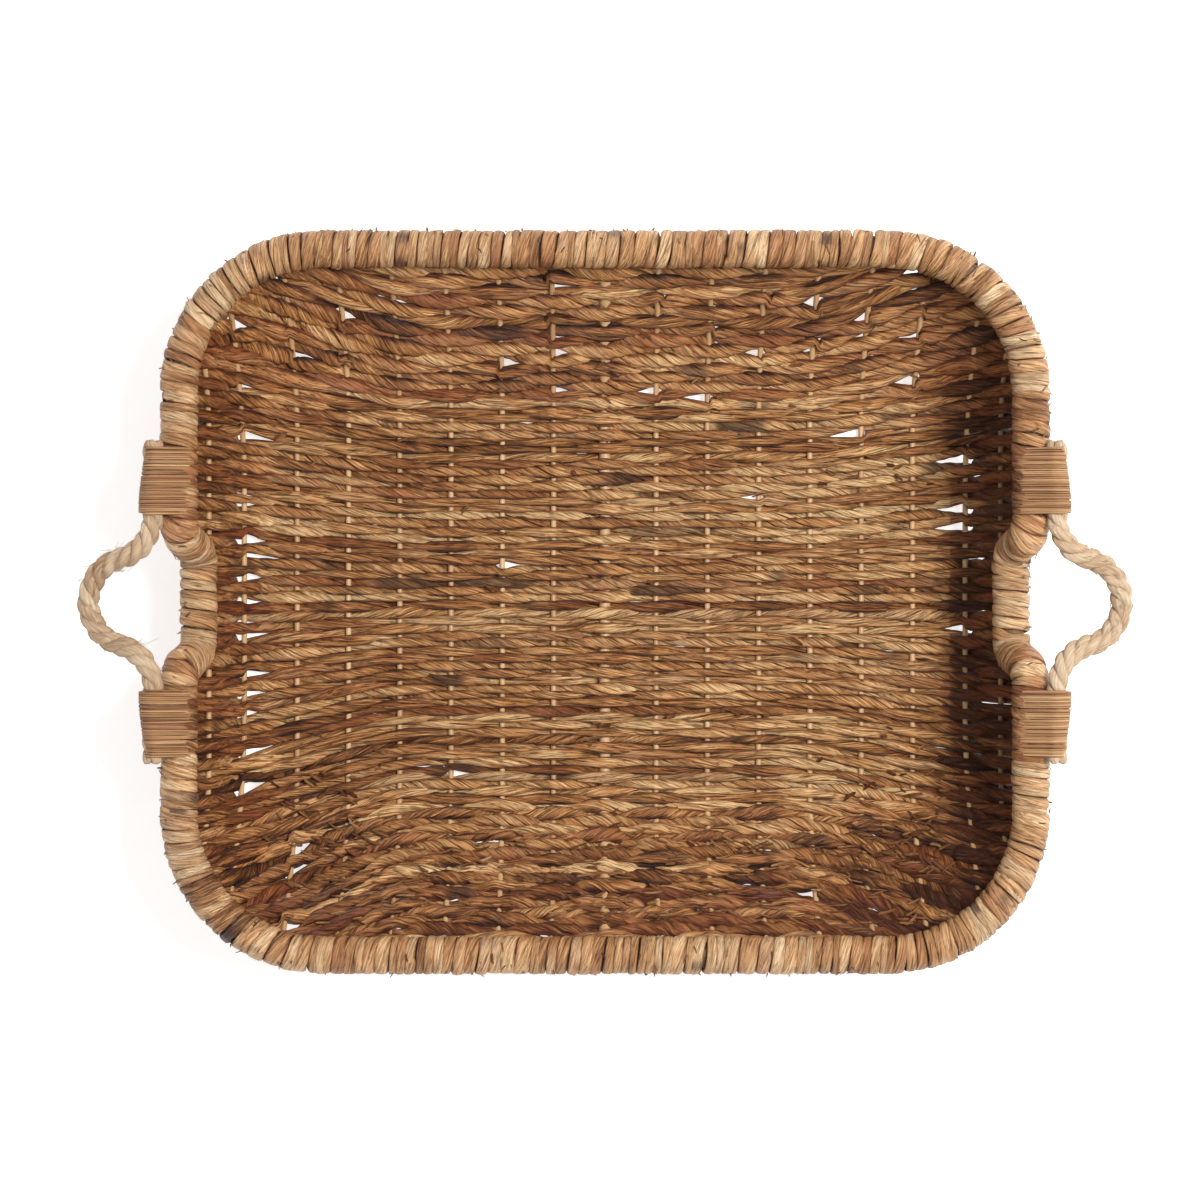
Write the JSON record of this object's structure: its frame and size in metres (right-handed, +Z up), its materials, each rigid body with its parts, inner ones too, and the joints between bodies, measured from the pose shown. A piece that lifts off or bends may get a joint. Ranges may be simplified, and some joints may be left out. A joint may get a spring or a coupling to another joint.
{
  "type": "bread basket",
  "caption": "Shallow rectangular bread basket of twisted bark woven over cane stakes, with a wrapped rim that dips at both ends and rope handles bound to it.",
  "frame": {"origin": "middle of the resting face, under the centre of the rim", "axes": "+X to the right, from one rope handle to the other; +Y to the back; +Z up"},
  "size_m": [0.5262, 0.372, 0.1015],
  "materials": {
    "bark_weave": "dry twisted bark, low sheen",
    "pale_cane": "satin round cane",
    "rattan_pole": "natural",
    "rim_bark": "honey bark strands, soft sheen",
    "split_cane": "fine split cane, satin",
    "rope": "hairy natural rope"
  },
  "bodies": {
    "basket": {"floor_weave": "bark_weave", "back_wall_weave": "bark_weave", "front_wall_weave": "bark_weave", "left_wall_weave": "bark_weave", "right_wall_weave": "bark_weave", "corner_weave_back_left": "bark_weave", "corner_weave_back_right": "bark_weave", "corner_weave_front_left": "bark_weave", "corner_weave_front_right": "bark_weave", "centre_rib": "pale_cane", "stake_left_1": "pale_cane", "stake_left_2": "pale_cane", "stake_left_3": "pale_cane", "stake_left_4": "pale_cane", "stake_left_5": "pale_cane", "stake_left_6": "pale_cane", "stake_left_7": "pale_cane", "stake_left_8": "pale_cane", "stake_right_1": "pale_cane", "stake_right_2": "pale_cane", "stake_right_3": "pale_cane", "stake_right_4": "pale_cane", "stake_right_5": "pale_cane", "stake_right_6": "pale_cane", "stake_right_7": "pale_cane", "stake_right_8": "pale_cane", "rim_core": "rattan_pole", "rim_wrap_back": "rim_bark", "rim_wrap_front": "rim_bark", "rim_wrap_back_left": "rim_bark", "rim_wrap_back_right": "rim_bark", "rim_wrap_front_left": "rim_bark", "rim_wrap_front_right": "rim_bark", "rim_wrap_left_rear": "rim_bark", "rim_wrap_left_fore": "rim_bark", "rim_wrap_right_rear": "rim_bark", "rim_wrap_right_fore": "rim_bark", "rim_wrap_left_dip": "rim_bark", "rim_wrap_right_dip": "rim_bark", "binding_left_rear": "split_cane", "binding_left_fore": "split_cane", "binding_right_rear": "split_cane", "binding_right_fore": "split_cane"},
    "left_handle": {"rope_handle_left": "rope"},
    "right_handle": {"rope_handle_right": "rope"}
  },
  "joints": [
    {"name": "left_handle_swing", "type": "hinge", "parent": "basket", "child": "left_handle", "pos_m": [-0.2245, 0, 0.0945], "axis": [0, 1, 0], "range_deg": [-75, 115]},
    {"name": "right_handle_swing", "type": "hinge", "parent": "basket", "child": "right_handle", "pos_m": [0.2245, 0, 0.0945], "axis": [0, -1, 0], "range_deg": [-75, 115]}
  ]
}
